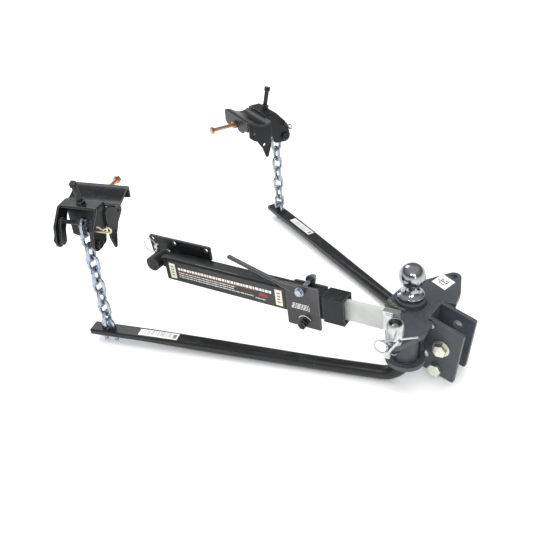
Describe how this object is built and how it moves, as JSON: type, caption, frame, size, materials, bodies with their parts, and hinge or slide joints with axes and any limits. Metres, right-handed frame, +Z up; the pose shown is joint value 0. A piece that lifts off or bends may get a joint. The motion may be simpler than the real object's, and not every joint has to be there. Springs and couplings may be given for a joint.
{
  "type": "weight distribution hitch",
  "caption": "Trailer weight distribution hitch with ball mount head, round spring bars hung on chains from snap-up frame brackets, and a friction sway control.",
  "frame": {"origin": "on the hitch ball axis, on the top face of the plate the ball stands on", "axes": "+X forward to the tow vehicle, +Y to the driver side, +Z up along the ball axis"},
  "size_m": [0.8964, 0.8066, 0.4308],
  "materials": {
    "bar_paint": "gloss",
    "black_oxide": "satin",
    "black_paint": "satin",
    "blue_zinc": "satin",
    "brake_lining": "matte",
    "charcoal_paint": "satin",
    "chrome_ball": "polished",
    "clamp_paint": "satin",
    "copper_zinc": "satin",
    "dark_grey_steel": "satin",
    "gold_zinc": "satin",
    "machined_ball": "machined",
    "pale_grey_paint": "satin",
    "silver_zinc": "satin",
    "yellow_white_zinc": "satin"
  },
  "bodies": {
    "head_and_frame": {"wing_plate": "charcoal_paint", "ball_plate": "charcoal_paint", "bottom_plate": "charcoal_paint", "left_bar_socket": "charcoal_paint", "right_bar_socket": "charcoal_paint", "rear_web": "charcoal_paint", "left_cheek": "charcoal_paint", "right_cheek": "charcoal_paint", "hitch_ball": "chrome_ball", "ball_lock_washer": "yellow_white_zinc", "ball_nut": "yellow_white_zinc", "shank_washers": "yellow_white_zinc", "upper_shank_bolt": "yellow_white_zinc", "lower_shank_bolt": "yellow_white_zinc", "shank_nuts": "yellow_white_zinc", "head_sway_ball": "machined_ball", "head_sway_ball_nut": "black_oxide", "left_bracket_saddle": "black_paint", "right_bracket_saddle": "black_paint", "left_bracket_front_plate": "black_paint", "right_bracket_front_plate": "black_paint", "left_bracket_yoke": "black_paint", "right_bracket_yoke": "black_paint", "set_screw_nuts": "black_oxide", "lever_pivots": "black_oxide", "rail_bolts": "copper_zinc", "rail_bolt_nuts": "copper_zinc"},
    "left_bar": {"left_spring_bar": "bar_paint", "left_u_bolt": "blue_zinc", "left_u_bolt_nuts": "blue_zinc"},
    "left_lever": {"left_lift_lever": "black_paint"},
    "left_top_link": {"left_chain_top_link": "blue_zinc"},
    "left_chain": {"left_lift_chain": "blue_zinc"},
    "left_screw": {"left_set_screw": "black_oxide"},
    "left_pin": {"left_hair_pin": "gold_zinc"},
    "right_bar": {"right_spring_bar": "bar_paint", "right_u_bolt": "blue_zinc", "right_u_bolt_nuts": "blue_zinc"},
    "right_lever": {"right_lift_lever": "black_paint"},
    "right_top_link": {"right_chain_top_link": "blue_zinc"},
    "right_chain": {"right_lift_chain": "blue_zinc"},
    "right_screw": {"right_set_screw": "black_oxide"},
    "right_pin": {"right_hair_pin": "gold_zinc"},
    "slider": {"slider_bar": "pale_grey_paint", "coupler_tab": "silver_zinc", "front_coupler": "silver_zinc"},
    "front_clip": {"front_clip_pin": "silver_zinc"},
    "friction_unit": {"friction_case": "black_paint", "brake_pads": "brake_lining", "clamp_plate_outer": "clamp_paint", "clamp_plate_inner": "clamp_paint", "rear_coupler": "black_paint", "adjusting_bolt_nut": "black_oxide", "handle_bolt": "blue_zinc"},
    "adjuster": {"adjusting_bolt": "black_oxide"},
    "handle": {"on_off_handle": "dark_grey_steel"},
    "rear_clip": {"rear_clip_pin": "silver_zinc"},
    "frame_bracket": {"frame_plate": "black_paint", "frame_sway_ball": "machined_ball"}
  },
  "joints": [
    {"name": "left_bar_swing", "type": "hinge", "parent": "head_and_frame", "child": "left_bar", "pos_m": [0.036, 0.081, -0.06], "axis": [0, 0, -1], "range_deg": [-3.5, 3.5]},
    {"name": "left_lever_throw", "type": "hinge", "parent": "head_and_frame", "child": "left_lever", "pos_m": [-0.63313, 0.36292, 0.119], "axis": [-0.9278, 0.373, 0], "range_deg": [0, 45]},
    {"name": "left_top_link_hang", "type": "hinge", "parent": "left_lever", "child": "left_top_link", "pos_m": [-0.63761, 0.35179, 0.162], "axis": [-0.9278, 0.373, 0], "range_deg": [-45, 10]},
    {"name": "left_chain_swing", "type": "hinge", "parent": "left_top_link", "child": "left_chain", "pos_m": [-0.63761, 0.35179, 0.1389], "axis": [0.9278, -0.373, 0], "range_deg": [-11, 11]},
    {"name": "left_screw_travel", "type": "slide", "parent": "head_and_frame", "child": "left_screw", "axis": [0.0839, 0.2087, 0.9744], "range_m": [-0.004, 0.006]},
    {"name": "left_pin_pull", "type": "slide", "parent": "head_and_frame", "child": "left_pin", "axis": [0.9278, -0.373, 0], "range_m": [0, 0.03]},
    {"name": "right_bar_swing", "type": "hinge", "parent": "head_and_frame", "child": "right_bar", "pos_m": [0.036, -0.081, -0.06], "axis": [0, 0, 1], "range_deg": [-3.5, 3.5]},
    {"name": "right_lever_throw", "type": "hinge", "parent": "head_and_frame", "child": "right_lever", "pos_m": [-0.63313, -0.36292, 0.119], "axis": [0.9278, 0.373, 0], "range_deg": [0, 45]},
    {"name": "right_top_link_hang", "type": "hinge", "parent": "right_lever", "child": "right_top_link", "pos_m": [-0.63761, -0.35179, 0.162], "axis": [0.9278, 0.373, 0], "range_deg": [-45, 10]},
    {"name": "right_chain_swing", "type": "hinge", "parent": "right_top_link", "child": "right_chain", "pos_m": [-0.63761, -0.35179, 0.1389], "axis": [-0.9278, -0.373, 0], "range_deg": [-11, 11]},
    {"name": "right_screw_travel", "type": "slide", "parent": "head_and_frame", "child": "right_screw", "axis": [0.0839, -0.2087, 0.9744], "range_m": [-0.004, 0.006]},
    {"name": "right_pin_pull", "type": "slide", "parent": "head_and_frame", "child": "right_pin", "axis": [0.9278, 0.373, 0], "range_m": [0, 0.03]},
    {"name": "sway_yaw", "type": "hinge", "parent": "head_and_frame", "child": "slider", "pos_m": [0.038, -0.14, 0.017], "axis": [0, 0, 1], "range_deg": [-6, 6]},
    {"name": "front_clip_pull", "type": "slide", "parent": "slider", "child": "front_clip", "axis": [-0.7278, -0.6858, 0], "range_m": [0, 0.03]},
    {"name": "friction_slide", "type": "slide", "parent": "slider", "child": "friction_unit", "axis": [0.9917, 0.1112, 0.0645], "range_m": [-0.08, 0.07]},
    {"name": "adjuster_turn", "type": "hinge", "parent": "friction_unit", "child": "adjuster", "pos_m": [-0.17252, -0.16361, -0.04079], "axis": [0.1115, -0.9938, 0], "range_deg": [-180, 180]},
    {"name": "handle_throw", "type": "hinge", "parent": "friction_unit", "child": "handle", "pos_m": [-0.17996, -0.16445, 0.04391], "axis": [-0.1115, 0.9938, 0], "range_deg": [0, 75]},
    {"name": "rear_clip_pull", "type": "slide", "parent": "friction_unit", "child": "rear_clip", "axis": [-0.0641, -0.0072, 0.9979], "range_m": [0, 0.03]},
    {"name": "frame_ball_yaw", "type": "hinge", "parent": "friction_unit", "child": "frame_bracket", "pos_m": [-0.59128, -0.20052, -0.00383], "axis": [-0.0641, -0.0072, 0.9979], "range_deg": [-2, 5]}
  ],
  "couplings": [
    {"joint": "left_top_link_hang", "follows": "left_lever_throw", "ratio": -0.845},
    {"joint": "left_chain_swing", "follows": "left_bar_swing", "ratio": 2.907},
    {"joint": "right_top_link_hang", "follows": "right_lever_throw", "ratio": -0.845},
    {"joint": "right_chain_swing", "follows": "right_bar_swing", "ratio": 2.907}
  ]
}
